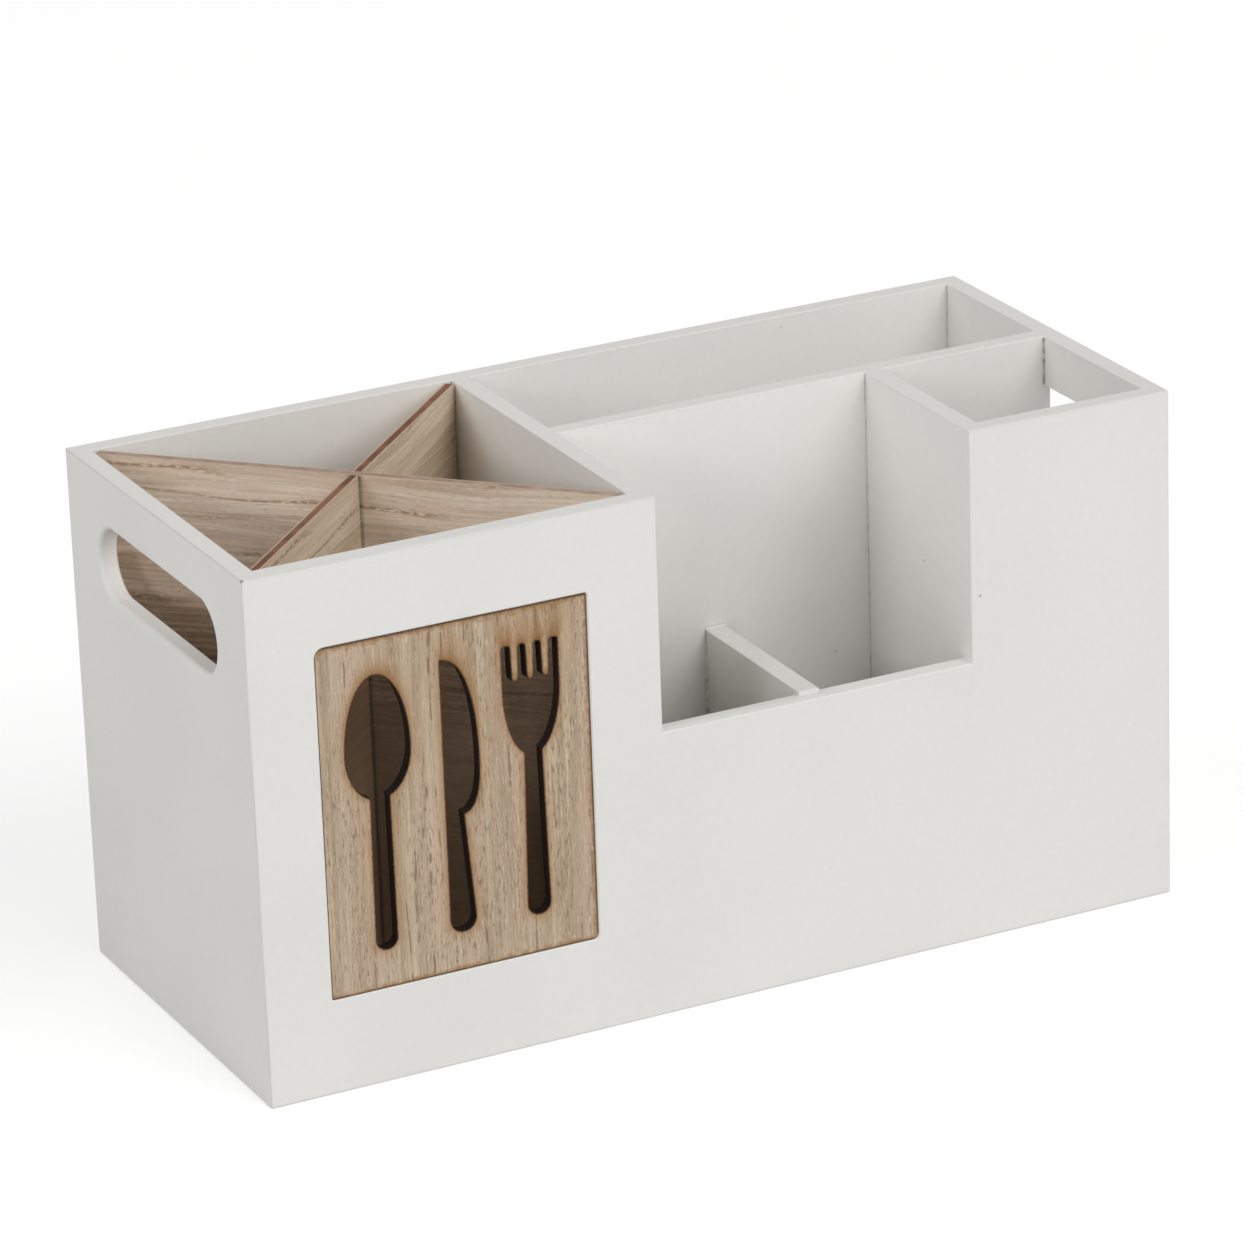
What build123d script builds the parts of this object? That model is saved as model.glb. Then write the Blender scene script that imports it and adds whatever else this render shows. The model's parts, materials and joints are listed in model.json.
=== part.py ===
from build123d import *
import math
import os

# Utensil box: a painted board case, a lift-out cross for its cutlery bay and a pierced wood plaque.
# Millimetres. The origin is the middle of the underside, +X right, +Y back, +Z up.

# Case
length = 300.0
depth = 129.0
height = 162.0
board = 6.0
cutlery_bay = 117.0  # inside width of the bay at the left
notch_width = 103.0  # inside width of the bay behind the notch
rear_bay = 54.0  # inside depth of the long bay at the back
sill = 89.0  # height of the front wall under the notch
left_bin = 46.8  # inside width of the bin at the left behind the notch
low_board = 6.8  # thickness of the low divider
low_rise = 1.4  # how far the low divider stands over the sill
housing = 2.0  # how far the edge of a divider is let into the wall that it meets
arris = 0.4  # radius of the edges that are sanded after gluing

# Hand slots
slot_length = 86.0
slot_height = 22.0
slot_drop = 27.0  # centre line of the slot under the rim
slot_round = 1.6  # radius of the outer mouth
slot_ease = 0.5  # chamfer of the inner mouth

# Window and plaque
window_left = 20.8  # bare wall at the left of the window
window_right = 22.8  # from the window to the notch
window_base = 29.0  # bare wall under the window
window_head = 25.0  # from the window to the rim
window_round = 3.0  # radius of the upper left corner, and of the opening behind the ledge
window_low_round = 1.8  # of the lower right corner
window_tight = 0.7  # of the other two, which are cleared by hand
window_arris = 0.4  # chamfer round the pocket
window_ledge = 4.0  # width of the ledge that the plaque is glued to
plaque = 3.5
plaque_recess = 0.4
plaque_gap = 0.2

# Cut-outs of the plaque: places across the window and heights between foot and top are shares
cutout_foot = 12.2  # bare wood under the cut-outs
cutout_head = 11.5  # bare wood over them
spoon_axis_share = 0.212
spoon_bowl = 20.2
spoon_neck = 5.8
spoon_end = 6.5
spoon_widest_share = 0.722
spoon_neck_share = 0.552
knife_spine_share = 0.451
knife_blade = 11.0
knife_heel = 5.4
knife_end = 7.9
knife_widest_share = 0.603
knife_heel_share = 0.433
knife_tip_share = 0.63  # fullness of the curve up to the tip, 0.55 for an ellipse
knife_belly_share = 0.63  # fullness of the curve down to the heel
fork_axis_share = 0.782
fork_head = 17.7
fork_neck = 5.2
fork_end = 7.0
fork_finger = 2.9  # width of the wood left between two tines, at its root
fork_finger_end = 2.2  # width at its round end
fork_tine_round = 0.9
fork_pitch = 4.85
fork_finger_share = 0.866
fork_shoulder_share = 0.84
fork_neck_share = 0.594

# Cross
ply = 3.0
ply_drop = 0.5  # top of the cross under the rim
ply_gap = 0.4  # from the ends of the plies to the walls
lap_share = 0.5
lap_gap = 0.15  # on each side of a ply in the slot of the other
lap_play = 0.3  # between the ends of the two slots

# Brads
brad = 1.2  # width of the flat wire
brad_thick = 1.0
brad_head = 2.0
brad_head_height = 0.8
brad_length = 18.0
brad_tip = 1.6
brad_skin = 0.7  # filler and paint over the head
brad_gap = 0.05
edge_shares = (0.1, 0.5, 0.9)  # places along a joint of an outer wall
inner_shares = (0.25, 0.75)  # along a joint of the floor
low_shares = (0.2, 0.6)  # up a joint, clear of the hand slot or the sill

overrun = 5.0
hair = 0.01

# Faces of the walls, from left to right and from front to back
left = -length / 2
right = length / 2
in_left = left + board
in_right = right - board
bay_right = in_left + cutlery_bay
notch_left = bay_right + board
notch_right = notch_left + notch_width
side_left = notch_right + board
low_left = notch_left + left_bin
low_right = low_left + low_board
low_top = sill + low_rise
front = -depth / 2
back = depth / 2
in_front = front + board
in_back = back - board
part_back = in_back - rear_bay
part_front = part_back - board
floor = board
window_width = notch_left - left - window_left - window_right
window_height = height - window_base - window_head

# Each wall as a pair of corners, with the tongues that are let into its neighbours
spans = {
    "bottom_panel": ((in_left, in_front, 0), (in_right, in_back, floor)),
    "front_panel": ((left, front, 0), (right, in_front, height)),
    "back_panel": ((left, in_back, 0), (right, back, height)),
    "left_end_panel": ((left, in_front, 0), (in_left, in_back, height)),
    "right_end_panel": ((in_right, in_front, 0), (right, in_back, height)),
    "cutlery_divider": ((bay_right, in_front - housing, floor), (notch_left, in_back + housing, height)),
    "long_partition": ((notch_left - housing, part_front, floor), (in_right + housing, part_back, height)),
    "right_divider": ((notch_right, in_front - housing, floor), (side_left, part_front + housing, height)),
    "low_divider": ((low_left, in_front - housing, floor), (low_right, part_front + housing, low_top)),
}

# The pieces that are let into a wall
housed = {
    "front_panel": ("cutlery_divider", "right_divider", "low_divider"),
    "back_panel": ("cutlery_divider",),
    "right_end_panel": ("long_partition",),
    "cutlery_divider": ("long_partition",),
    "long_partition": ("right_divider", "low_divider"),
}


def slab(low, high):
    size = [b - a for a, b in zip(low, high)]
    return Pos(*low) * Box(*size, align=Align.MIN)


# The case as it stands when glued up, with its edges sanded round across the joints
def sanded_case():
    top = height + overrun
    hollows = (
        ((in_left, in_front, floor), (bay_right, in_back, top)),
        ((notch_left, part_back, floor), (in_right, in_back, top)),
        ((side_left, in_front, floor), (in_right, part_front, top)),
        ((notch_left, in_front, floor), (low_left, part_front, top)),
        ((low_right, in_front, floor), (notch_right, part_front, top)),
        ((notch_left, front - overrun, sill), (notch_right, part_front, top)),
    )
    case = slab((left, front, 0), (right, back, height))
    for low, high in hollows:
        case -= slab(low, high)
    tongue_front = in_front - housing
    case += slab((low_left, tongue_front, sill), (low_right, part_front, low_top))
    levels = case.edges().group_by(Axis.Z)
    uprights = case.edges().filter_by(Axis.Z).group_by(Axis.Y)
    ledge = case.edges().filter_by_position(Axis.Z, sill - hair, sill + hair)
    outer = ledge.filter_by_position(Axis.Y, front - hair, front + hair)
    inner = ledge.filter_by_position(Axis.Y, in_front - hair, in_front + hair)
    low = case.edges().filter_by_position(Axis.Z, low_top - hair, low_top + hair)
    low = low.filter_by_position(Axis.Y, tongue_front - hair, part_front - hair)
    return fillet(levels[0] + levels[-1] + uprights[0] + uprights[-1] + outer + inner + low, arris)


def mouth(panel, face):
    middle = height - slot_drop
    edges = panel.edges().filter_by_position(Axis.X, face - hair, face + hair)
    return edges.filter_by_position(Axis.Z, middle - slot_height / 2 - hair, middle + slot_height / 2 + hair)


# A hand slot through an end wall, well rounded outside and eased inside
def slotted(panel, outside, inside):
    bar = extrude(Plane.YZ * SlotOverall(slot_length, slot_height), amount=length, both=True)
    panel -= Pos(0, 0, height - slot_drop) * bar
    panel = fillet(mouth(panel, outside), slot_round)
    return chamfer(mouth(panel, inside), slot_ease)


# Outlines on the front wall are drawn from the lower left corner of the window
window_plane = Plane(origin=(left + window_left, front, window_base), x_dir=(1, 0, 0), z_dir=(0, -1, 0))


def front_block(outline, near, far):
    return extrude(window_plane.offset(-far) * outline, amount=far - near)


# The window's corners, as seen from its middle
window_rounds = {
    (-1, 1): window_round,
    (1, 1): window_tight,
    (1, -1): window_low_round,
    (-1, -1): window_tight,
}


def window_outline(inset):
    frame = Rectangle(window_width - 2 * inset, window_height - 2 * inset)
    for (side, level), radius in window_rounds.items():
        corner = frame.vertices().sort_by_distance((side * window_width, level * window_height))[0]
        frame = fillet(corner, radius - inset)
    return Pos(window_width / 2, window_height / 2) * frame


# A pocket for the plaque, and a smaller opening behind it that leaves a ledge
def windowed(panel):
    pocket = front_block(window_outline(0), -overrun, plaque_recess + plaque)
    hole = RectangleRounded(window_width - 2 * window_ledge, window_height - 2 * window_ledge, window_round)
    opening = front_block(Pos(window_width / 2, window_height / 2) * hole, -overrun, board + overrun)
    pierced = panel - pocket
    pocket_edges = new_edges(panel, pocket, combined=pierced).group_by(Axis.Y)[0]
    return chamfer(pocket_edges, window_arris) - opening


def rise(share):
    return cutout_foot + share * (window_height - cutout_foot - cutout_head)


# A strip that tapers between its round lower end and its root, drawn up past the root
def strip(axis, end, root, foot, root_height, head_height):
    start = foot + end / 2
    sides = Polyline(
        (axis - end / 2, start),
        (axis - root / 2, root_height),
        (axis - root / 2, head_height),
        (axis + root / 2, head_height),
        (axis + root / 2, root_height),
        (axis + end / 2, start),
    )
    return make_face([sides, ThreePointArc(sides @ 1, (axis, foot), sides @ 0)])


# An egg: two half ellipses that meet at the widest place of the bowl
def spoon():
    axis = spoon_axis_share * window_width
    widest = rise(spoon_widest_share)
    neck_height = rise(spoon_neck_share)
    crown = EllipticalCenterArc((axis, widest), spoon_bowl / 2, rise(1) - widest, 0, arc_size=180)
    heel = EllipticalCenterArc((axis, widest), spoon_bowl / 2, widest - neck_height, 180, arc_size=180)
    return make_face([crown, heel]) + strip(axis, spoon_end, spoon_neck, rise(0), neck_height, widest)


# A straight spine, a blade with a full curve on each side of its widest place, and a handle with a round end
def knife():
    spine = knife_spine_share * window_width
    widest = rise(knife_widest_share)
    heel_height = rise(knife_heel_share)
    foot = rise(0) + knife_end / 2
    edge = spine + knife_blade
    tip = Bezier(
        (edge, widest),
        (edge, widest + knife_tip_share * (rise(1) - widest)),
        (spine + knife_tip_share * knife_blade, rise(1)),
        (spine, rise(1)),
    )
    belly = Bezier(
        (spine + knife_heel, heel_height),
        (spine + knife_heel + knife_belly_share * (knife_blade - knife_heel), heel_height),
        (edge, widest - knife_belly_share * (widest - heel_height)),
        (edge, widest),
    )
    grip = Line((spine + knife_end, foot), belly @ 0)
    butt = ThreePointArc((spine, foot), (spine + knife_end / 2, rise(0)), grip @ 0)
    return make_face([tip, Line(tip @ 1, butt @ 0), butt, grip, belly])


# A head with straight sides over half an ellipse, with three fingers of wood between its tines
def fork():
    axis = fork_axis_share * window_width
    shoulder = rise(fork_shoulder_share)
    neck_height = rise(fork_neck_share)
    throat_depth = shoulder - neck_height
    throat = EllipticalCenterArc((axis, shoulder), fork_head / 2, throat_depth, 180, arc_size=180)
    corners = Polyline(
        throat @ 1,
        (axis + fork_head / 2, rise(1)),
        (axis - fork_head / 2, rise(1)),
        throat @ 0,
    )
    head = make_face([throat, corners])
    finger = strip(axis, fork_finger_end, fork_finger, rise(fork_finger_share), rise(1), rise(1) + overrun)
    for step in (-1, 0, 1):
        head -= Pos(step * fork_pitch, 0) * finger
    head = fillet(head.vertices().group_by(Axis.Y)[-1], fork_tine_round)
    return head + strip(axis, fork_end, fork_neck, rise(0), neck_height, shoulder)


def pierced_plaque():
    sheet = window_outline(plaque_gap)
    for cutout in (spoon(), knife(), fork()):
        sheet -= cutout
    return front_block(sheet, plaque_recess, plaque_recess + plaque)


# Two plies from corner to corner of the cutlery bay, each slotted for the other half way up
def cross():
    wide = cutlery_bay
    deep = in_back - in_front
    turn = math.atan2(deep, wide)
    reach_wide = (wide / 2 - ply_gap - ply / 2 * math.sin(turn)) / math.cos(turn)
    reach_deep = (deep / 2 - ply_gap - ply / 2 * math.cos(turn)) / math.sin(turn)
    reach = min(reach_wide, reach_deep)
    tall = height - ply_drop - floor
    lap = tall * lap_share
    middle = Pos((in_left + bay_right) / 2, (in_front + in_back) / 2, floor)

    def sheet(angle, thick, low, high):
        blank = slab((-reach, -thick / 2, low), (reach, thick / 2, high))
        return middle * Rot(0, 0, angle) * blank

    angle = math.degrees(turn)
    slot = ply + 2 * lap_gap
    lower = sheet(angle, ply, 0, tall) - sheet(-angle, slot, lap - lap_play / 2, tall + overrun)
    upper = sheet(-angle, ply, 0, tall) - sheet(angle, slot, -overrun, lap + lap_play / 2)
    return lower, upper


# A flat wire brad along +Z from the top of its head, or the hole that it sits in
def nail(gap):
    shank = brad / 2 + gap
    head = brad_head / 2 + gap
    profile = Polyline(
        (-head, -gap),
        (head, -gap),
        (head, brad_head_height + gap),
        (shank, brad_head_height + gap),
        (shank, brad_length - brad_tip),
        (0, brad_length + gap),
        (-shank, brad_length - brad_tip),
        (-shank, brad_head_height + gap),
        (-head, brad_head_height + gap),
        close=True,
    )
    return extrude(Plane.XZ * make_face(profile), amount=brad_thick / 2 + gap, both=True)


def row(first, last, shares, direction):
    for share in shares:
        place = [a + share * (b - a) for a, b in zip(first, last)]
        yield Plane(origin=place, z_dir=direction)


def middle_of(node, axis):
    low, high = spans[node]
    return (low[axis] + high[axis]) / 2


# Where the brads go: through each outer wall into the edges behind it, and up through the floor
def brad_rows():
    rows = {"front_brads": [], "back_brads": [], "end_brads": [], "divider_brads": [], "bottom_brads": []}
    for wall, y, direction in (
        ("front_brads", front + brad_skin, (0, 1, 0)),
        ("back_brads", back - brad_skin, (0, -1, 0)),
    ):
        for node in ("left_end_panel", "cutlery_divider", "right_end_panel"):
            x = middle_of(node, 0)
            rows[wall] += row((x, y, floor), (x, y, height), edge_shares, direction)
        z = middle_of("bottom_panel", 2)
        rows[wall] += row((in_left, y, z), (in_right, y, z), edge_shares, direction)
    for x, direction in ((left + brad_skin, (1, 0, 0)), (right - brad_skin, (-1, 0, 0))):
        z = middle_of("bottom_panel", 2)
        rows["end_brads"] += row((x, in_front, z), (x, in_back, z), inner_shares, direction)
    y = middle_of("long_partition", 1)
    x = right - brad_skin
    rows["end_brads"] += row((x, y, floor), (x, y, height), low_shares, (-1, 0, 0))
    x = bay_right + brad_skin
    rows["divider_brads"] += row((x, y, floor), (x, y, height), edge_shares, (1, 0, 0))
    for node, shares in (("right_divider", edge_shares), ("low_divider", low_shares)):
        x = middle_of(node, 0)
        top = spans[node][1][2]
        y = front + brad_skin
        rows["front_brads"] += row((x, y, floor), (x, y, top), shares, (0, 1, 0))
        y = part_back - brad_skin
        rows["divider_brads"] += row((x, y, floor), (x, y, top), shares, (0, -1, 0))
    for node in ("cutlery_divider", "right_divider", "low_divider"):
        x = middle_of(node, 0)
        rear = min(spans[node][1][1], in_back)
        rows["bottom_brads"] += row((x, in_front, brad_skin), (x, rear, brad_skin), inner_shares, (0, 0, 1))
    y = middle_of("long_partition", 1)
    first = (notch_left, y, brad_skin)
    rows["bottom_brads"] += row(first, (in_right, y, brad_skin), inner_shares, (0, 0, 1))
    return rows


pieces = {}
case = sanded_case()
for node, span in spans.items():
    panel = case & slab(*span)
    if node == "front_panel":
        panel = windowed(panel)
    if node == "left_end_panel":
        panel = slotted(panel, left, in_left)
    if node == "right_end_panel":
        panel = slotted(panel, right, in_right)
    for guest in housed.get(node, ()):
        panel -= slab(*spans[guest])
    pieces[node] = panel
pieces["cutlery_plaque"] = pierced_plaque()
pieces["cross_lower"], pieces["cross_upper"] = cross()

rows = brad_rows()
holes = [place * nail(brad_gap) for places in rows.values() for place in places]
for node in spans:
    pieces[node] -= holes
for node, places in rows.items():
    pieces[node] = Compound([place * nail(0) for place in places])

os.makedirs("parts", exist_ok=True)
for node, piece in pieces.items():
    piece.label = node
    export_step(piece, f"parts/{node}.step")
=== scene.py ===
import json
import math

import bmesh
import bpy
from mathutils import Matrix, Vector
from mathutils.kdtree import KDTree

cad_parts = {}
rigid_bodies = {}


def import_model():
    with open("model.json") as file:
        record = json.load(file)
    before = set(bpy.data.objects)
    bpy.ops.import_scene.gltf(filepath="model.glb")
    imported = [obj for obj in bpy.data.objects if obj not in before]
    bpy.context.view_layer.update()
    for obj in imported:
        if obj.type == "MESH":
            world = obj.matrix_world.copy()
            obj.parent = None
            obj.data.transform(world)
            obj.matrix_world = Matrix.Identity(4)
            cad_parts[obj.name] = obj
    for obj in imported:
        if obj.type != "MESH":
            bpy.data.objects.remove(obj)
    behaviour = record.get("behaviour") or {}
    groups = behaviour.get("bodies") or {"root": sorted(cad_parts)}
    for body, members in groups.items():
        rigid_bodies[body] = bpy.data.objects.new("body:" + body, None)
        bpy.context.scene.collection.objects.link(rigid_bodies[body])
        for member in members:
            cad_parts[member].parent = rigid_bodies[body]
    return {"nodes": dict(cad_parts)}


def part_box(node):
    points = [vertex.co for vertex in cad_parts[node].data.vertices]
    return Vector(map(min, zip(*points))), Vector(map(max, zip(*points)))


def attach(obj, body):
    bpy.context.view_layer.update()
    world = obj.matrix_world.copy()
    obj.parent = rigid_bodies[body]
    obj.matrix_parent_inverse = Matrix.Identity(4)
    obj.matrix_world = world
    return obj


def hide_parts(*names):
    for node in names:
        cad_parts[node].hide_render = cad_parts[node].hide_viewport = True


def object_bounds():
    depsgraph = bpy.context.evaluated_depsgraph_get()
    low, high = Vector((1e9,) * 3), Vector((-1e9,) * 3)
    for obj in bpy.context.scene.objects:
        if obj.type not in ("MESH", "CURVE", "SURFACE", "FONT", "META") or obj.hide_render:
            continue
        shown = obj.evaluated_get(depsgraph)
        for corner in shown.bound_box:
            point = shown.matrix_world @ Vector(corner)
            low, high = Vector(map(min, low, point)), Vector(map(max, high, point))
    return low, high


for leftover in list(bpy.data.objects):
    bpy.data.objects.remove(leftover)
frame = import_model()
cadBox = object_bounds()
nodes = frame["nodes"]
print("frame loaded:", len(nodes), "nodes")


# Node tree helpers

def addNode(tree, kind, inputs=(), **settings):
    node = tree.nodes.new(kind)
    for name, value in settings.items():
        setattr(node, name, value)
    for name, value in dict(inputs).items():
        plug(tree, node.inputs[name], value)
    return node


def plug(tree, socket, value):
    if isinstance(value, bpy.types.NodeSocket):
        tree.links.new(value, socket)
    else:
        socket.default_value = value


def calc(tree, operation, *values):
    node = tree.nodes.new("ShaderNodeMath")
    node.operation = operation
    for socket, value in zip(node.inputs, values):
        plug(tree, socket, value)
    return node.outputs[0]


def fade(tree, value, start, end, low=0.0, high=1.0):
    inputs = {"Value": value, "From Min": start, "From Max": end, "To Min": low, "To Max": high}
    return addNode(tree, "ShaderNodeMapRange", inputs, interpolation_type="SMOOTHSTEP").outputs["Result"]


def mixColour(tree, factor, first, second, blend="MIX"):
    node = addNode(tree, "ShaderNodeMix", data_type="RGBA", blend_type=blend)
    for index, value in ((0, factor), (6, first), (7, second)):  # the sockets that an RGBA mix uses
        if isinstance(value, tuple):
            value = (*value, 1.0)
        plug(tree, node.inputs[index], value)
    return node.outputs[2]


def shaded(tree, colour, factor):
    grey = joined(tree, factor, factor, factor)
    return mixColour(tree, 1.0, colour, grey, "MULTIPLY")


def split(tree, vector):
    return addNode(tree, "ShaderNodeSeparateXYZ", {"Vector": vector}).outputs


def joined(tree, x, y, z):
    return addNode(tree, "ShaderNodeCombineXYZ", {"X": x, "Y": y, "Z": z}).outputs[0]


def moved(tree, vector, offset):
    node = addNode(tree, "ShaderNodeVectorMath", operation="SUBTRACT")
    tree.links.new(vector, node.inputs[0])
    node.inputs[1].default_value = offset
    return node.outputs[0]


def stretch(tree, vector, scale, turn=(0, 0, 0)):
    inputs = {"Vector": vector, "Scale": scale, "Rotation": turn}
    return addNode(tree, "ShaderNodeMapping", inputs).outputs[0]


def grainNoise(tree, vector, scale, detail=2.0, rough=0.5):
    inputs = {"Vector": stretch(tree, vector, scale), "Scale": 1.0, "Detail": detail, "Roughness": rough}
    return addNode(tree, "ShaderNodeTexNoise", inputs).outputs[0]


def swing(tree, noise, amount):  # to both sides of nothing, as noise lies round a half
    return calc(tree, "MULTIPLY", calc(tree, "SUBTRACT", noise, 0.5), amount)


def without(tree, value, taken):
    return calc(tree, "MULTIPLY", value, calc(tree, "SUBTRACT", 1.0, taken))


def objectCoords(tree):
    return addNode(tree, "ShaderNodeTexCoord").outputs["Object"]


def attribute(tree, name):
    return addNode(tree, "ShaderNodeAttribute", attribute_name=name).outputs["Fac"]


def spotDistance(tree, vector, centre):
    node = addNode(tree, "ShaderNodeVectorMath", operation="DISTANCE")
    plug(tree, node.inputs[0], vector)
    node.inputs[1].default_value = centre
    return node.outputs["Value"]


def newMaterial(name):
    material = bpy.data.materials.new(name)
    material.use_nodes = True
    tree = material.node_tree
    return material, tree, tree.nodes["Principled BSDF"]


def bumped(tree, shader, height, distance):
    inputs = {"Height": height, "Distance": distance}
    tree.links.new(addNode(tree, "ShaderNodeBump", inputs).outputs[0], shader.inputs["Normal"])


# Sprayed off-white paint over fibreboard

paintLook = {
    "white": (0.905, 0.898, 0.868),
    "greyed": (0.882, 0.875, 0.844),
    "paintedShade": (0.64, 0.625, 0.585),  # painted shade, darker low in the cutlery bay and the left bin
    "paintedShadeTop": 0.106,
    "paintedShadeLow": 0.064,
    "paintedShadeSide": (0.040, 0.033),
    "paintedShadeMost": 0.9,
    "longBaySide": (-0.025, -0.023),  # the painted shade is left out of the long bay behind the bin
    "longBayFront": (0.0, 0.003),
    "rimShade": (0.955, 0.945, 0.932),  # painted shade: the rim's top faces are darkened
    "rimShadeFrom": (0.1611, 0.1618),
    "arrisDark": (0.56, 0.54, 0.50),  # a darker colour along the outer arrises
    "arrisDarkReach": 0.0006,
    "arrisDarkLeast": 0.12,
    "arrisDarkMost": 0.55,
    "arrisDarkCut": (0.38, 0.62),
    "inside": (0.002, 0.004),  # how far in from the outer faces the inside begins
    "cloud": (14.0, 14.0, 14.0),
    "cloudCut": (0.36, 0.64),
    "speck": (420.0, 420.0, 420.0),
    "speckCut": (0.3, 0.7),
    "speckDim": 0.985,
    "peel": (1100.0, 1100.0, 1100.0),
    "peelDepth": 0.000025,
    "roughness": (0.52, 0.62),
    "roughnessCut": (0.3, 0.7),
    "specular": 0.35,
    "ragged": 0.0008,
    "markFade": 3,  # a mark is full within its radius divided by this
    "marks": (  # place, radius and colour of each knock or filled pin
        ((-0.1499, -0.0644, 0.1617), 0.0009, (0.34, 0.33, 0.31)),
        ((0.0850, -0.0645, 0.1100), 0.00055, (0.42, 0.40, 0.37)),
        ((0.1097, -0.0614, 0.1620), 0.00055, (0.52, 0.50, 0.47)),
        ((0.0698, -0.0015, 0.0744), 0.00055, (0.58, 0.56, 0.53)),
        ((0.0820, -0.0359, 0.1125), 0.00050, (0.52, 0.50, 0.47)),
        ((0.0854, 0.0585, 0.1584), 0.00050, (0.55, 0.53, 0.50)),
    ),
}


def outerDepths(tree, coords):
    low, high = cadBox
    half = (high - low) / 2
    parts = split(tree, moved(tree, coords, (low + high) / 2))
    return [calc(tree, "SUBTRACT", half[i], calc(tree, "ABSOLUTE", parts[i])) for i in range(3)]


def casePaint():
    look = paintLook
    material, tree, shader = newMaterial("casePaint")
    coords = objectCoords(tree)
    cloud = grainNoise(tree, coords, look["cloud"], detail=3.0)
    speck = grainNoise(tree, coords, look["speck"], rough=0.6)
    peel = grainNoise(tree, coords, look["peel"], detail=1.0)
    colour = mixColour(tree, fade(tree, cloud, *look["cloudCut"]), look["greyed"], look["white"])
    colour = shaded(tree, colour, fade(tree, speck, *look["speckCut"], look["speckDim"], 1.0))
    depths = outerDepths(tree, coords)
    nearer = calc(tree, "MINIMUM", depths[0], depths[1])
    farther = calc(tree, "MAXIMUM", depths[0], depths[1])
    parts = split(tree, coords)
    # painted shade: darker low down inside the cutlery bay and the left bin, away from the outer faces
    deep = fade(tree, parts[2], look["paintedShadeTop"], look["paintedShadeLow"], 0.0, look["paintedShadeMost"])
    deep = calc(tree, "MULTIPLY", deep, fade(tree, nearer, *look["inside"]))
    deep = calc(tree, "MULTIPLY", deep, fade(tree, parts[0], *look["paintedShadeSide"]))
    longBayUnshaded = fade(tree, parts[0], *look["longBaySide"])
    longBayUnshaded = calc(tree, "MULTIPLY", longBayUnshaded, fade(tree, parts[1], *look["longBayFront"]))
    colour = mixColour(tree, without(tree, deep, longBayUnshaded), colour, look["paintedShade"])
    # painted shade on the top faces of the rim
    colour = mixColour(tree, fade(tree, parts[2], *look["rimShadeFrom"]), colour, look["rimShade"], "MULTIPLY")
    # darker along the outer arrises, in patches
    arris = calc(tree, "MAXIMUM", nearer, calc(tree, "MINIMUM", farther, depths[2]))
    arrisDarkening = fade(tree, cloud, *look["arrisDarkCut"], look["arrisDarkLeast"], look["arrisDarkMost"])
    arrisDarkening = calc(tree, "MULTIPLY", arrisDarkening, fade(tree, arris, look["arrisDarkReach"], 0.0))
    colour = mixColour(tree, arrisDarkening, colour, look["arrisDark"])
    for centre, radius, shade in look["marks"]:
        reach = calc(tree, "ADD", spotDistance(tree, coords, centre), swing(tree, peel, look["ragged"]))
        colour = mixColour(tree, fade(tree, reach, radius, radius / look["markFade"]), colour, shade)
    tree.links.new(colour, shader.inputs["Base Color"])
    gloss = fade(tree, cloud, *look["roughnessCut"], *look["roughness"])
    tree.links.new(gloss, shader.inputs["Roughness"])
    shader.inputs["Specular IOR Level"].default_value = look["specular"]
    bumped(tree, shader, peel, look["peelDepth"])
    return material


# Beads of paint along the inside corners, dark where the paint has not bridged them: partly dirt, partly
# painted shade in the open joints

seamLook = {
    "radius": 0.00038,
    "uneven": 0.9,
    "step": 0.0012,
    "wave": 260.0,
    "below": 0.0006,  # from the rim down to a bead's end
    "blob": 2.4,  # thicker paint on top of the low divider's far end
    "sill": 0.089,
    "slot": (0.1235, 0.1465),  # the hand slot interrupts the beads on the right end
    "shadeHigh": {"rightBay": 0.162, "leftBin": 0.076},  # how high the far right corner has painted shade and grime
    "shadeAndGrime": (0.62, 1.5),  # amount of painted shade and dirt, and thickness, there
    "shadeAndDust": (0.17, 1.0),  # and in the other corners
    "floorShadeAndDirt": 0.17,
    "clean": (0.86, 0.853, 0.825),
    "shadeAndDirty": (0.10, 0.095, 0.085),
    "dashes": (500.0, 500.0, 380.0),
    "dashCut": (0.38, 0.62),
    "dashDark": 1.0,
    "dashPale": 0.15,
    "roughness": 0.6,
}


def seamPaint():
    look = seamLook
    material, tree, shader = newMaterial("seamPaint")
    dashes = grainNoise(tree, objectCoords(tree), look["dashes"], detail=3.0, rough=0.6)
    # dark stretches: painted shade in the open joints, mixed with dirt
    dark = fade(tree, dashes, *look["dashCut"], look["dashPale"], look["dashDark"])
    dark = calc(tree, "MULTIPLY", dark, attribute(tree, "shadeAndDirt"))
    tree.links.new(mixColour(tree, dark, look["clean"], look["shadeAndDirty"]), shader.inputs["Base Color"])
    shader.inputs["Roughness"].default_value = look["roughness"]
    return material


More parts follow.
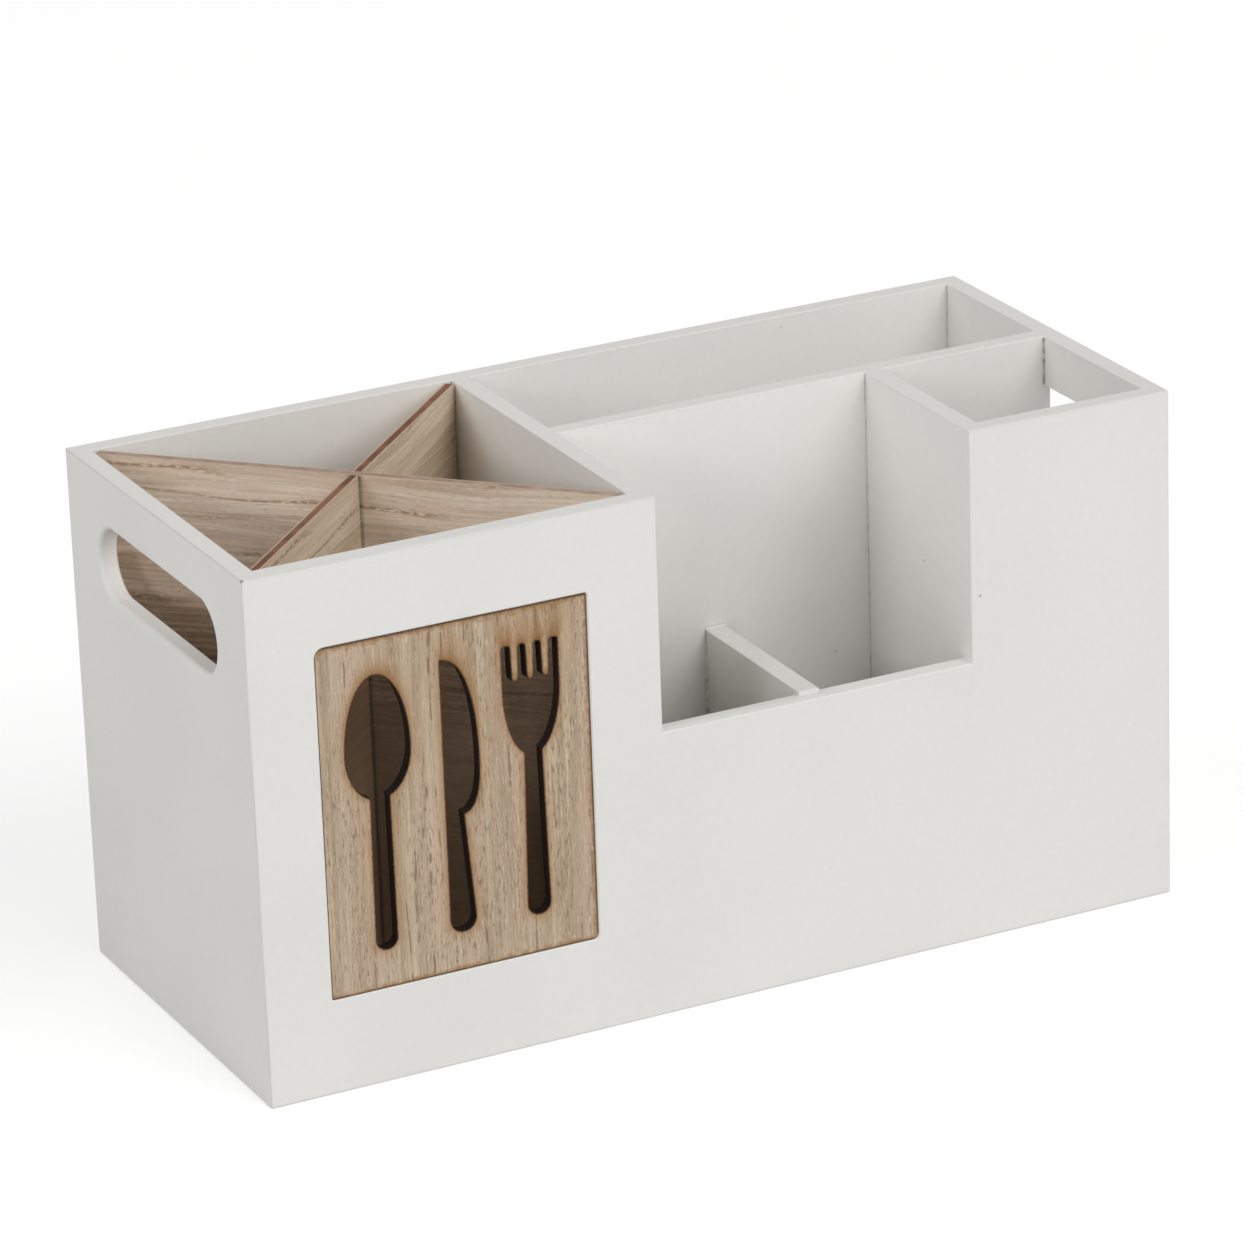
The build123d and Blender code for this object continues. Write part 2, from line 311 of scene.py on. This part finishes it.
def seamLines():
    look = seamLook
    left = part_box("left_end_panel")[1].x
    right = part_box("right_end_panel")[0].x
    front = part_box("front_panel")[1].y
    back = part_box("back_panel")[0].y
    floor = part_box("bottom_panel")[1].z
    rim = cadBox[1].z - look["below"]
    cutlery, partition, divider, low = (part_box(name) for name in (
        "cutlery_divider", "long_partition", "right_divider", "low_divider"))
    lowTop = low[1].z
    sill = look["sill"] - look["below"]
    slotLow, slotTop = look["slot"]
    bays = {  # four sides, then the tops of the left front, right front, right back and left back corners
        "cutleryBay": (left, cutlery[0].x, front, back, rim, rim, rim, rim),
        "longBay": (cutlery[1].x, right, partition[1].y, back, rim, slotTop, rim, rim),
        "rightBay": (divider[1].x, right, front, partition[0].y, rim, rim, slotTop, rim),
        "leftBin": (cutlery[1].x, low[0].x, front, partition[0].y, sill, sill, lowTop, rim),
        "rightBin": (low[1].x, divider[0].x, front, partition[0].y, sill, sill, rim, lowTop),
    }
    lines = []
    for name, (x0, x1, y0, y1, *tops) in bays.items():
        corners = ((x0, y0, 1, 1), (x1, y0, -1, 1), (x1, y1, -1, -1), (x0, y1, 1, -1))
        shadeHighTops = (0, 0, look["shadeHigh"].get(name, 0), 0)
        for (x, y, sx, sy), top, shadeHighTop in zip(corners, tops, shadeHighTops):
            spans = ((floor, slotLow), (slotTop, rim)) if top == slotTop else ((floor, top),)
            for bottom, end in spans:
                middle = min(max(shadeHighTop, bottom), end)
                for a, b, amount in ((bottom, middle, look["shadeAndGrime"]), (middle, end, look["shadeAndDust"])):
                    if b > a:
                        lines.append(((x, y, a), (x, y, b), (sx, sy, 0), *amount))
        for (x, y, sx, sy), (u, v, tx, ty) in zip(corners, corners[1:] + corners[:1]):
            inward = ((sx + tx) / 2, (sy + ty) / 2, 1)
            # the corners along the bay floors get the same painted shade and dirt
            lines.append(((x, y, floor), (u, v, floor), inward, look["floorShadeAndDirt"], 1.0))
    end = partition[0].y
    lines.append(((low[0].x, end, lowTop), (low[1].x, end, lowTop), (0, -1, 1), 0.0, look["blob"]))
    return lines


def seamNodes(material):
    tree = bpy.data.node_groups.new("cornerSeams", "GeometryNodeTree")
    tree.interface.new_socket("Lines", in_out="INPUT", socket_type="NodeSocketGeometry")
    for name in ("Radius", "Step", "Uneven", "Wave"):
        tree.interface.new_socket(name, in_out="INPUT", socket_type="NodeSocketFloat")
    tree.interface.new_socket("Beads", in_out="OUTPUT", socket_type="NodeSocketGeometry")
    given = addNode(tree, "NodeGroupInput").outputs

    def step(kind, inputs, **settings):
        return addNode(tree, "GeometryNode" + kind, inputs, **settings).outputs[0]

    aside = step("InputNamedAttribute", {"Name": "aside"}, data_type="FLOAT_VECTOR")
    size = step("InputNamedAttribute", {"Name": "size"}, data_type="FLOAT")
    curve = step("MeshToCurve", {"Mesh": given["Lines"]})
    curve = step("ResampleCurve", {"Curve": curve, "Length": given["Step"]}, mode="LENGTH")
    curve = step("SetCurveNormal", {"Curve": curve, "Normal": aside}, mode="FREE")
    noise = addNode(tree, "ShaderNodeTexNoise", {"Scale": given["Wave"]}).outputs[0]
    swell = calc(tree, "ADD", 1.0, swing(tree, noise, given["Uneven"]))
    thick = calc(tree, "MULTIPLY", swell, calc(tree, "MULTIPLY", size, given["Radius"]))
    arm = math.sqrt(0.5)  # the profile has a leg on each wall and a hollow face between them
    hollow = math.sqrt(2) - 1
    profile = addNode(tree, "GeometryNodeCurvePrimitiveQuadrilateral", mode="POINTS")
    places = ((0, 0, 0), (arm, -arm, 0), (hollow, 0, 0), (arm, arm, 0))
    for number, place in enumerate(places, 1):
        profile.inputs[f"Point {number}"].default_value = place
    sweep = {"Curve": curve, "Profile Curve": profile.outputs[0], "Scale": thick, "Fill Caps": True}
    beads = step("CurveToMesh", sweep)
    beads = step("RealizeInstances", {"Geometry": beads})
    beads = step("SetMaterial", {"Geometry": beads, "Material": material})
    addNode(tree, "NodeGroupOutput", {"Beads": beads})
    return tree


def makeSeams():
    look = seamLook
    lines = seamLines()
    mesh = bpy.data.meshes.new("seamLines")
    points = [point for line in lines for point in line[:2]]
    mesh.from_pydata(points, [(2 * i, 2 * i + 1) for i in range(len(lines))], [])
    sides = [component for line in lines for component in 2 * tuple(Vector(line[2]).normalized())]
    mesh.attributes.new("aside", "FLOAT_VECTOR", "POINT").data.foreach_set("vector", sides)
    for place, name in ((3, "shadeAndDirt"), (4, "size")):
        values = [line[place] for line in lines for point in line[:2]]
        mesh.attributes.new(name, "FLOAT", "POINT").data.foreach_set("value", values)
    source = bpy.data.objects.new("seamLines", mesh)
    bpy.context.scene.collection.objects.link(source)
    tree = seamNodes(seamPaint())
    modifier = source.modifiers.new("cornerSeams", "NODES")
    modifier.node_group = tree
    values = {"Radius": look["radius"], "Step": look["step"], "Uneven": look["uneven"], "Wave": look["wave"]}
    for item in tree.interface.items_tree:
        if item.name in values:
            modifier[item.identifier] = values[item.name]
    beads = bpy.data.meshes.new_from_object(source.evaluated_get(bpy.context.evaluated_depsgraph_get()))
    bpy.data.objects.remove(source)
    piece = bpy.data.objects.new("cornerSeams", beads)
    bpy.context.scene.collection.objects.link(piece)
    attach(piece, "case")
    print("corner seams:", len(beads.polygons), "faces")


# Wood veneer, with the grain along X of the vector that it is given

veneerLook = {  # what the plaque and the plies share
    "bandDetail": 4.0,
    "bandRough": 0.62,
    "bandCut": (0.34, 0.66),
    "pinkCut": (0.35, 0.65),
    "crowdCut": (0.35, 0.65),
    "fibreCut": (0.25, 0.75),
    "fibreRise": 0.5,  # height of the fibres where a pore is 1 deep
    "specular": 0.3,
}


def veinRows(tree, flow, look):
    drift = grainNoise(tree, flow, look["rowDrift"])
    count = calc(tree, "DIVIDE", split(tree, flow)[1], look["rowPitch"])
    count = calc(tree, "ADD", count, swing(tree, drift, look["rowSpread"]))
    offset = calc(tree, "ABSOLUTE", calc(tree, "SUBTRACT", calc(tree, "FRACT", count), 0.5))
    line = fade(tree, offset, look["rowWidth"] / look["rowPitch"], 0.0)
    dash = fade(tree, grainNoise(tree, flow, look["rowDash"]), *look["dashCut"])
    patch = fade(tree, grainNoise(tree, flow, look["rowPatch"], detail=1.0), *look["patchCut"])
    return calc(tree, "MULTIPLY", line, calc(tree, "MULTIPLY", dash, patch))


def veneer(tree, along, look):
    shared = veneerLook
    parts = split(tree, along)
    wobble = grainNoise(tree, along, look["wobble"])
    across = calc(tree, "ADD", parts[1], swing(tree, wobble, look["sway"]))
    flow = joined(tree, parts[0], across, parts[2])
    bands = grainNoise(tree, flow, look["bands"], shared["bandDetail"], shared["bandRough"])
    patches = grainNoise(tree, flow, look["patches"], detail=1.0)
    fibres = grainNoise(tree, flow, look["fibres"])
    specks = grainNoise(tree, flow, look["ticks"], rough=0.6)
    crowd = grainNoise(tree, flow, look["crowd"], detail=1.0)
    crowd = fade(tree, crowd, *shared["crowdCut"], look["crowdLeast"], 1.0)
    ticks = calc(tree, "MULTIPLY", fade(tree, specks, *look["tickCut"]), crowd)
    flecks = fade(tree, specks, *look["fleckCut"])
    rows = veinRows(tree, flow, look)
    colour = mixColour(tree, fade(tree, bands, *shared["bandCut"]), look["dark"], look["pale"])
    pinkish = fade(tree, patches, *shared["pinkCut"], 0.0, look["pinkMost"])
    colour = mixColour(tree, pinkish, colour, look["pink"])
    colour = shaded(tree, colour, fade(tree, fibres, *shared["fibreCut"], *look["fibreShade"]))
    colour = mixColour(tree, calc(tree, "MULTIPLY", flecks, look["fleckMost"]), colour, look["fleck"])
    colour = mixColour(tree, calc(tree, "MULTIPLY", ticks, look["tickMost"]), colour, look["tick"])
    colour = mixColour(tree, calc(tree, "MULTIPLY", rows, look["rowMost"]), colour, look["row"])
    pores = calc(tree, "MAXIMUM", ticks, rows)
    return colour, calc(tree, "SUBTRACT", calc(tree, "MULTIPLY", fibres, shared["fibreRise"]), pores)


# Plaque: laser-cut veneer board, scorched round its cut-outs

plaqueLook = {
    "merge": 1e-6,
    "facing": -0.9,  # the front face's normals lie under this in Y
    "cell": 0.0008,  # mesh cells of the face
    "cutNear": 1e-7,
    "margin": 0.004,  # the outline lies this near the plaque's box
    "sample": 0.00015,  # spacing of the points on the cut edges
    "lift": 0.34,  # smoke spreads three times as far up as sideways
    "steepest": 0.05,
    "draught": (0.10, 1.17),  # it rises higher towards the fork
    "sides": {"left": 0.15, "right": 1.3, "low": 1.5, "top": 2.0},  # how far each edge is browned; the top's wider dark line is laser browning plus painted shade under the window's top edge
    "pale": (0.660, 0.530, 0.382),
    "dark": (0.460, 0.352, 0.236),
    "pink": (0.585, 0.425, 0.315),
    "pinkMost": 0.5,
    "wobble": (14.0, 70.0, 1.0),
    "sway": 0.0025,
    "bands": (6.0, 280.0, 20.0),
    "patches": (5.0, 110.0, 10.0),
    "fibres": (50.0, 1500.0, 60.0),
    "fibreShade": (0.86, 1.10),
    "ticks": (300.0, 1700.0, 60.0),
    "tickCut": (0.56, 0.67),
    "tick": (0.24, 0.170, 0.105),
    "tickMost": 0.72,
    "crowd": (22.0, 150.0, 10.0),
    "crowdLeast": 0.25,
    "fleckCut": (0.42, 0.28),
    "fleck": (0.76, 0.65, 0.52),
    "fleckMost": 0.6,
    "rowPitch": 0.0034,
    "rowSpread": 3.0,
    "rowDrift": (7.0, 80.0, 8.0),
    "rowWidth": 0.00055,
    "rowDash": (200.0, 650.0, 10.0),
    "dashCut": (0.43, 0.58),
    "rowPatch": (14.0, 130.0, 5.0),
    "patchCut": (0.45, 0.58),
    "row": (0.20, 0.115, 0.068),
    "rowMost": 0.75,
    "toast": (0.375, 0.190, 0.064),
    "toastReach": 0.0015,
    "toastMost": 0.95,
    "haze": (0.36, 0.185, 0.062),
    "hazeReach": 0.0034,
    "hazeMost": 0.9,
    "smoke": (0.13, 0.062, 0.028),
    "smokeReach": 0.0004,
    "smokeMost": 0.6,
    "burnt": (0.080, 0.040, 0.021),
    "burntReach": 0.0006,
    "char": (0.020, 0.014, 0.011),
    "charReach": 0.00012,
    "rimReach": 0.0012,
    "rimMost": 0.85,
    "rimLine": (0.13, 0.072, 0.036),
    "lineReach": 0.00045,
    "uneven": (420.0, 420.0, 420.0),
    "fine": (1500.0, 1500.0, 1500.0),
    "wisps": (700.0, 100.0, 90.0),
    "charFade": 3,
    "heights": (-0.5, 0.5),
    "roughness": (0.74, 0.62),  # in the pores and on the fibres
    "relief": 0.00006,
}


def plaqueWood():
    look = plaqueLook
    material, tree, shader = newMaterial("plaqueWood")
    coords = objectCoords(tree)
    parts = split(tree, coords)
    colour, height = veneer(tree, joined(tree, parts[2], parts[0], parts[1]), look)  # grain runs up
    cut = attribute(tree, "cutDistance")
    rim = attribute(tree, "rimDistance")
    uneven = grainNoise(tree, coords, look["uneven"])
    fine = grainNoise(tree, coords, look["fine"])
    wisps = grainNoise(tree, coords, look["wisps"])
    rising = attribute(tree, "smokeDistance")
    for name, distance, gusts in (("toast", cut, uneven), ("haze", rising, wisps), ("smoke", rising, wisps)):
        edge = calc(tree, "ADD", distance, swing(tree, gusts, look[name + "Reach"]))
        falling = calc(tree, "EXPONENT", calc(tree, "DIVIDE", edge, -look[name + "Reach"]))
        amount = calc(tree, "MINIMUM", calc(tree, "MULTIPLY", falling, look[name + "Most"]), 1.0)
        colour = mixColour(tree, amount, colour, look[name])
    line = calc(tree, "ADD", cut, swing(tree, fine, look["burntReach"]))
    colour = mixColour(tree, fade(tree, line, look["burntReach"], look["charReach"]), colour, look["burnt"])
    # browning and a dark line round the outline, scaled per edge; at the top it is also painted shade under
    # the window's edge
    brown = calc(tree, "ADD", rim, swing(tree, uneven, look["rimReach"] * 2))
    brown = fade(tree, brown, look["rimReach"], 0.0, 0.0, look["rimMost"])
    colour = mixColour(tree, brown, colour, look["toast"])
    dots = calc(tree, "ADD", rim, swing(tree, fine, look["lineReach"]))
    colour = mixColour(tree, fade(tree, dots, look["lineReach"], 0.0), colour, look["rimLine"])
    charred = fade(tree, cut, look["charReach"], look["charReach"] / look["charFade"])
    colour = mixColour(tree, charred, colour, look["char"])
    tree.links.new(colour, shader.inputs["Base Color"])
    gloss = fade(tree, height, *look["heights"], *look["roughness"])
    tree.links.new(gloss, shader.inputs["Roughness"])
    shader.inputs["Specular IOR Level"].default_value = veneerLook["specular"]
    bumped(tree, shader, height, look["relief"])
    return material


def edgePoints(edges, spacing):
    points = []
    for edge in edges:
        first, last = (vert.co for vert in edge.verts)
        steps = max(1, math.ceil((last - first).length / spacing))
        points += [first.lerp(last, i / steps) for i in range(steps + 1)]
    return [Vector((point.x, 0, point.z)) for point in points]


def pointTree(points):
    tree = KDTree(len(points))
    for index, point in enumerate(points):
        tree.insert(point, index)
    tree.balance()
    return tree


def plaqueDistances(mesh, low, high, cutPoints):
    look = plaqueLook
    sides = look["sides"]
    flat = pointTree(cutPoints)
    squeezed = pointTree([Vector((point.x, 0, point.z * look["lift"])) for point in cutPoints])
    found = {"cutDistance": [], "smokeDistance": [], "rimDistance": []}
    for vert in mesh.vertices:
        x, z = vert.co.x, vert.co.z
        nearest = flat.find((x, 0, z))[2]
        source, reach = squeezed.find((x, 0, z * look["lift"]))[::2]
        rise = (z * look["lift"] - source.z) / max(reach, look["sample"])
        draught = look["draught"][0] + look["draught"][1] * (x - low.x) / (high.x - low.x)
        edges = ((x - low.x, "left"), (high.x - x, "right"), (z - low.z, "low"), (high.z - z, "top"))
        found["cutDistance"].append(nearest)
        found["smokeDistance"].append(reach / max(rise, look["steepest"]) / draught)
        found["rimDistance"].append(min(gap / sides[side] for gap, side in edges))
    for name, values in found.items():
        mesh.attributes.new(name, "FLOAT", "POINT").data.foreach_set("value", values)


def makePlaque(material):
    look = plaqueLook
    low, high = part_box("cutlery_plaque")
    bm = bmesh.new()
    bm.from_mesh(nodes["cutlery_plaque"].data)
    bmesh.ops.remove_doubles(bm, verts=bm.verts, dist=look["merge"])

    def inFront(face):
        return face.normal.y < look["facing"]

    def onOutline(edge):
        spot = (edge.verts[0].co + edge.verts[1].co) / 2
        return min(spot.x - low.x, high.x - spot.x, spot.z - low.z, high.z - spot.z) < look["margin"]

    faceEdges = {e for f in bm.faces if inFront(f) for e in f.edges}
    brim = [e for e in faceEdges if not all(inFront(f) for f in e.link_faces)]
    cutPoints = edgePoints([e for e in brim if not onOutline(e)], look["sample"])
    for axis in (0, 2):
        direction = Vector((axis == 0, 0, axis == 2))
        count = math.ceil((high[axis] - low[axis]) / look["cell"])
        for i in range(1, count):
            place = low + direction * (i * (high[axis] - low[axis]) / count)
            front = [f for f in bm.faces if inFront(f)]
            edges = {e for f in front for e in f.edges}
            verts = {v for f in front for v in f.verts}
            geometry = front + list(edges) + list(verts)
            bmesh.ops.bisect_plane(
                bm, geom=geometry, dist=look["cutNear"], plane_co=place, plane_no=direction)
    bm.normal_update()
    mesh = bpy.data.meshes.new("plaqueBoard")
    bm.to_mesh(mesh)
    bm.free()
    plaqueDistances(mesh, low, high, cutPoints)
    mesh.materials.append(material)
    board = bpy.data.objects.new("plaqueBoard", mesh)
    bpy.context.scene.collection.objects.link(board)
    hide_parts("cutlery_plaque")
    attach(board, "case")
    print("plaque:", len(mesh.polygons), "faces")


# Cross: two thin plies with scorched edges

plyLook = {
    "turn": math.radians(45),
    "thickness": 0.003,
    "skin": 0.00042,  # veneer on each side of the core
    "skinBlur": 1.4,
    "edgeFrom": (0.00002, 0.00006),  # how far under the faces an edge begins
    "pale": (0.86, 0.735, 0.60),
    "dark": (0.62, 0.48, 0.355),
    "pink": (0.81, 0.645, 0.52),
    "pinkMost": 0.5,
    "plain": (0.73, 0.60, 0.47),  # the figure fades towards the floor
    "plainMost": {"cross_lower": 0.8, "cross_upper": 0.35},
    "deepFrom": 0.100,
    "deepTo": 0.070,
    "deepMost": 0.85,
    "lineCut": (0.16, 0.34),
    "lineShade": (0.75, 1.31),  # though some fine lines show more there
    "lowFrom": 0.157,
    "lowTo": 0.092,
    "tintsAndShade": {  # of each ply at the rim and towards the floor, where the darker tint is painted shade
        "cross_lower": ((0.87, 0.86, 0.80), (0.66, 0.56, 0.47)),
        "cross_upper": ((1.07, 1.08, 1.10), (0.59, 0.515, 0.445)),
    },
    "wobble": (9.0, 40.0, 1.0),
    "sway": 0.010,
    "bands": (6.0, 190.0, 6.0),
    "patches": (6.0, 70.0, 4.0),
    "fibres": (35.0, 1000.0, 40.0),
    "fibreShade": (0.87, 1.08),
    "ticks": (380.0, 1800.0, 30.0),
    "tickCut": (0.56, 0.72),
    "tick": (0.38, 0.27, 0.18),
    "tickMost": 0.5,
    "crowd": (16.0, 110.0, 8.0),
    "crowdLeast": 0.15,
    "fleckCut": (0.42, 0.28),
    "fleck": (0.93, 0.82, 0.70),
    "fleckMost": 0.5,
    "rowPitch": 0.009,
    "rowSpread": 3.2,
    "rowDrift": (8.0, 50.0, 5.0),
    "rowWidth": 0.0013,
    "rowDash": (420.0, 1100.0, 10.0),
    "dashCut": (0.38, 0.56),
    "rowPatch": (12.0, 70.0, 5.0),
    "patchCut": (0.42, 0.57),
    "row": (0.33, 0.205, 0.12),
    "rowMost": 0.85,
    "edgeTan": (0.56, 0.40, 0.27),
    "uneven": (120.0, 120.0, 120.0),
    "unevenCut": (0.35, 0.65),
    "crossingShade": 0.0015,  # painted shade beside the other ply, with rub marks where the plies touch
    "crossingEdge": 0.0006,
    "crossingDim": 0.55,
    "roughness": 0.68,
    "relief": 0.00006,
    "cores": {
        "cross_lower": ((0.17, 0.072, 0.040), (0.28, 0.130, 0.072)),
        "cross_upper": ((0.36, 0.25, 0.185), (0.50, 0.37, 0.29)),
    },
}


def crossPly(node, angle):
    look = plyLook
    material, tree, shader = newMaterial(node + "Ply")
    low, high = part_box(node)
    coords = objectCoords(tree)
    turned = stretch(tree, moved(tree, coords, (low + high) / 2), (1, 1, 1), (0, 0, -angle))
    parts = split(tree, turned)
    colour, height = veneer(tree, joined(tree, parts[0], parts[2], parts[1]), look)
    level = split(tree, coords)[2]
    down = fade(tree, level, look["lowFrom"], look["lowTo"])
    deep = fade(tree, level, look["deepFrom"], look["deepTo"], look["plainMost"][node], look["deepMost"])
    colour = mixColour(tree, calc(tree, "MULTIPLY", down, deep), colour, look["plain"])
    # painted shade: each ply darkens towards the floor
    colour = mixColour(tree, 1.0, colour, mixColour(tree, down, *look["tintsAndShade"][node]), "MULTIPLY")
    lines = calc(tree, "SUBTRACT", fade(tree, height, *look["lineCut"], *look["lineShade"]), 1.0)
    lines = calc(tree, "MULTIPLY", lines, without(tree, down, deep))
    colour = shaded(tree, colour, calc(tree, "ADD", 1.0, lines))
    # painted shade beside the crossing ply, and rub marks just inside where it sits
    reach = calc(tree, "SUBTRACT", calc(tree, "ABSOLUTE", parts[0]), look["thickness"] / 2)
    beside = fade(tree, reach, 0.0, look["crossingShade"], look["crossingDim"], 1.0)
    within = fade(tree, reach, 0.0, -look["crossingEdge"], look["crossingDim"], 1.0)
    colour = shaded(tree, colour, calc(tree, "MAXIMUM", beside, within))
    depth = calc(tree, "SUBTRACT", look["thickness"] / 2, calc(tree, "ABSOLUTE", parts[1]))
    uneven = grainNoise(tree, coords, look["uneven"])
    core = mixColour(tree, fade(tree, uneven, *look["unevenCut"]), *look["cores"][node])
    inner = fade(tree, depth, look["skin"], look["skin"] * look["skinBlur"])
    edge = mixColour(tree, inner, look["edgeTan"], core)
    colour = mixColour(tree, fade(tree, depth, *look["edgeFrom"]), colour, edge)
    tree.links.new(colour, shader.inputs["Base Color"])
    shader.inputs["Roughness"].default_value = look["roughness"]
    shader.inputs["Specular IOR Level"].default_value = veneerLook["specular"]
    bumped(tree, shader, height, look["relief"])
    return material


# Brads: bright drawn wire

bradLook = {
    "dull": (0.36, 0.36, 0.37),
    "bright": (0.56, 0.56, 0.57),
    "drawn": (2500.0, 2500.0, 2500.0),
    "drawnCut": (0.3, 0.7),
    "roughness": (0.28, 0.45),
}


def bradSteel():
    look = bradLook
    material, tree, shader = newMaterial("bradSteel")
    drawn = grainNoise(tree, objectCoords(tree), look["drawn"])
    colour = mixColour(tree, fade(tree, drawn, *look["drawnCut"]), look["dull"], look["bright"])
    tree.links.new(colour, shader.inputs["Base Color"])
    gloss = fade(tree, drawn, *look["drawnCut"], *look["roughness"])
    tree.links.new(gloss, shader.inputs["Roughness"])
    shader.inputs["Metallic"].default_value = 1.0
    return material


def dress(node, material):
    for slot in nodes[node].material_slots:
        slot.material = material


paint = casePaint()
for node in ("bottom_panel", "front_panel", "back_panel", "left_end_panel", "right_end_panel",
             "cutlery_divider", "long_partition", "right_divider", "low_divider"):
    dress(node, paint)
print("case painted")
makeSeams()
makePlaque(plaqueWood())
dress("cross_lower", crossPly("cross_lower", plyLook["turn"]))
dress("cross_upper", crossPly("cross_upper", -plyLook["turn"]))
steel = bradSteel()
for node in ("front_brads", "back_brads", "end_brads", "divider_brads", "bottom_brads"):
    dress(node, steel)
print("wood and brads dressed")


# Floor, light and camera

floorLook = {
    "size": 8.0,
    "drop": 0.0002,
    "pale": (0.65, 0.65, 0.647),
    "paler": (0.67, 0.67, 0.667),
    "cloud": (3.0, 3.0, 3.0),
    "roughness": 0.9,
    "glow": 0.52,  # seen by the camera, and lights nothing
}


def makeFloor():
    look = floorLook
    half = look["size"] / 2
    level = -look["drop"]
    mesh = bpy.data.meshes.new("floor")
    corners = [(-half, -half, level), (half, -half, level), (half, half, level), (-half, half, level)]
    mesh.from_pydata(corners, [], [(0, 1, 2, 3)])
    material, tree, shader = newMaterial("floorPaper")
    cloud = grainNoise(tree, objectCoords(tree), look["cloud"])
    tree.links.new(mixColour(tree, cloud, look["pale"], look["paler"]), shader.inputs["Base Color"])
    shader.inputs["Roughness"].default_value = look["roughness"]
    shader.inputs["Emission Color"].default_value = (1, 1, 1, 1)
    seen = addNode(tree, "ShaderNodeLightPath").outputs["Is Camera Ray"]
    tree.links.new(calc(tree, "MULTIPLY", seen, look["glow"]), shader.inputs["Emission Strength"])
    mesh.materials.append(material)
    floor = bpy.data.objects.new("floor", mesh)
    bpy.context.scene.collection.objects.link(floor)


lightLook = {
    "world": 0.345,
    "aim": (0.0, 0.0, 0.07),
    "distance": 5.0,
    "boxes": {  # azimuth from straight in front, elevation, power and size
        "keyBox": (20, 40, 96.5, 3.0),
        "leftBox": (-60, 20, 37.3, 1.2),
        "leftBackBox": (-110, 36, 41.0, 3.0),
        "rightBox": (60, 20, 32.0, 3.0),
        "farRightBox": (100, 20, 11.0, 3.0),
        "backBox": (170, 14, 16.0, 3.0),
    },
}


def outward(azimuth, elevation):
    az, el = math.radians(azimuth), math.radians(elevation)
    return Vector((math.sin(az) * math.cos(el), -math.cos(az) * math.cos(el), math.sin(el)))


def makeLights():
    look = lightLook
    world = bpy.data.worlds.new("studio")
    bpy.context.scene.world = world
    world.use_nodes = True
    background = world.node_tree.nodes["Background"]
    background.inputs["Color"].default_value = (1, 1, 1, 1)
    background.inputs["Strength"].default_value = look["world"]
    for name, (azimuth, elevation, power, size) in look["boxes"].items():
        data = bpy.data.lights.new(name, "AREA")
        data.size = size
        data.energy = power
        light = bpy.data.objects.new(name, data)
        direction = outward(azimuth, elevation)
        light.location = Vector(look["aim"]) + direction * look["distance"]
        light.rotation_euler = direction.to_track_quat("Z", "Y").to_euler()
        bpy.context.scene.collection.objects.link(light)


cameraLook = {
    "lens": 188.586,
    "sensor": 36.0,
    "azimuth": -26.0347,  # where the camera stands, from straight in front, in degrees
    "elevation": 21.1750,
    "roll": -2.0590,
    "place": (-0.797316, -1.62909, 0.800494),
    "far": 50.0,
}


def makeCamera():
    look = cameraLook
    az = math.radians(look["azimuth"])
    back = outward(look["azimuth"], look["elevation"])
    right = Vector((math.cos(az), math.sin(az), 0))
    turned = Matrix((right, back.cross(right), back)).transposed().to_4x4()
    turned = turned @ Matrix.Rotation(math.radians(look["roll"]), 4, "Z")
    data = bpy.data.cameras.new("camera")
    data.lens = look["lens"]
    data.sensor_width = look["sensor"]
    data.clip_end = look["far"]
    camera = bpy.data.objects.new("camera", data)
    camera.matrix_world = Matrix.Translation(look["place"]) @ turned
    bpy.context.scene.collection.objects.link(camera)
    bpy.context.scene.camera = camera


makeFloor()
makeLights()
makeCamera()
bpy.context.scene.view_settings.view_transform = "Standard"
print("stage set")
